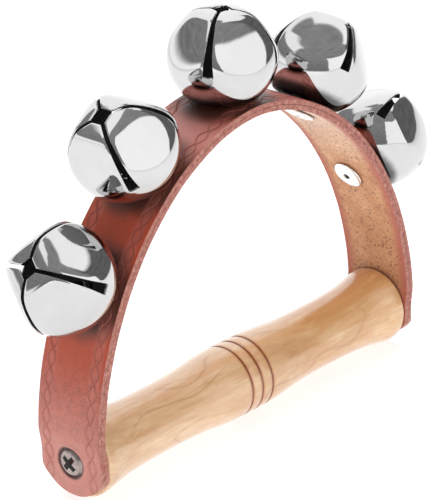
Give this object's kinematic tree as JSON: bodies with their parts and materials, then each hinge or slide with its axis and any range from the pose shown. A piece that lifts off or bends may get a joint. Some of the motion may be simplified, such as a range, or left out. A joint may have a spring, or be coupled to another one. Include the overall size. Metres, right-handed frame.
{
  "type": "sleigh bells",
  "caption": "Hand-held sleigh bells: round jingle bells riveted along a D-shaped leather strap that is screwed to the ends of a turned wooden handle.",
  "frame": {"origin": "under the middle of the handle, level with the lowest point of the handle's flared ends", "axes": "+X along the handle, +Z from the handle up to the top of the strap's arch, +Y across the width of the strap"},
  "size_m": [0.1815, 0.0361, 0.1377],
  "materials": {
    "handle_wood": "clear lacquer",
    "outer_leather": "smooth, glossy",
    "inner_leather": "rough flesh side",
    "bright_plate": "mirror",
    "rivet_metal": "satin",
    "screw_steel": "zinc plated",
    "plain_steel": "plain"
  },
  "bodies": {
    "strap_and_handle": {"wooden_handle": "handle_wood", "strap_outer_leather": "outer_leather", "strap_inner_leather": "inner_leather", "screw_left": "screw_steel", "screw_right": "screw_steel", "rivet_body_1": "rivet_metal", "rivet_body_2": "rivet_metal", "rivet_body_3": "rivet_metal", "rivet_body_4": "rivet_metal", "rivet_body_5": "rivet_metal", "rivet_mandrel_1": "plain_steel", "rivet_mandrel_2": "plain_steel", "rivet_mandrel_3": "plain_steel", "rivet_mandrel_4": "plain_steel", "rivet_mandrel_5": "plain_steel"},
    "bell_1": {"jingle_bell_1": "bright_plate"},
    "loose_pellet_1": {"pellet_1": "plain_steel"},
    "bell_2": {"jingle_bell_2": "bright_plate"},
    "loose_pellet_2": {"pellet_2": "plain_steel"},
    "bell_3": {"jingle_bell_3": "bright_plate"},
    "loose_pellet_3": {"pellet_3": "plain_steel"},
    "bell_4": {"jingle_bell_4": "bright_plate"},
    "loose_pellet_4": {"pellet_4": "plain_steel"},
    "bell_5": {"jingle_bell_5": "bright_plate"},
    "loose_pellet_5": {"pellet_5": "plain_steel"}
  },
  "joints": [
    {"name": "bell_1_spin", "type": "hinge", "parent": "strap_and_handle", "child": "bell_1", "pos_m": [-0.06202, 0.0006, 0.06643], "axis": [-0.8487, 0, 0.5289], "continuous": true},
    {"name": "pellet_1_rattle", "type": "slide", "parent": "strap_and_handle", "child": "loose_pellet_1", "axis": [0, 0, 1], "range_m": [0, 0.0215]},
    {"name": "bell_2_spin", "type": "hinge", "parent": "strap_and_handle", "child": "bell_2", "pos_m": [-0.03685, 0.0005, 0.09557], "axis": [-0.5835, 0, 0.8121], "continuous": true},
    {"name": "pellet_2_rattle", "type": "slide", "parent": "strap_and_handle", "child": "loose_pellet_2", "axis": [0, 0, 1], "range_m": [0, 0.0214]},
    {"name": "bell_3_spin", "type": "hinge", "parent": "strap_and_handle", "child": "bell_3", "pos_m": [-0.001, 0.0005, 0.10879], "axis": [0.0293, 0, 0.9996], "continuous": true},
    {"name": "pellet_3_rattle", "type": "slide", "parent": "strap_and_handle", "child": "loose_pellet_3", "axis": [0, 0, 1], "range_m": [0, 0.0165]},
    {"name": "bell_4_spin", "type": "hinge", "parent": "strap_and_handle", "child": "bell_4", "pos_m": [0.03572, -0.0004, 0.09639], "axis": [0.5703, 0, 0.8215], "continuous": true},
    {"name": "pellet_4_rattle", "type": "slide", "parent": "strap_and_handle", "child": "loose_pellet_4", "axis": [0, 0, 1], "range_m": [0, 0.0213]},
    {"name": "bell_5_spin", "type": "hinge", "parent": "strap_and_handle", "child": "bell_5", "pos_m": [0.06279, 0.0016, 0.06502], "axis": [0.8486, 0, 0.529], "continuous": true},
    {"name": "pellet_5_rattle", "type": "slide", "parent": "strap_and_handle", "child": "loose_pellet_5", "axis": [0, 0, 1], "range_m": [0, 0.0215]}
  ]
}
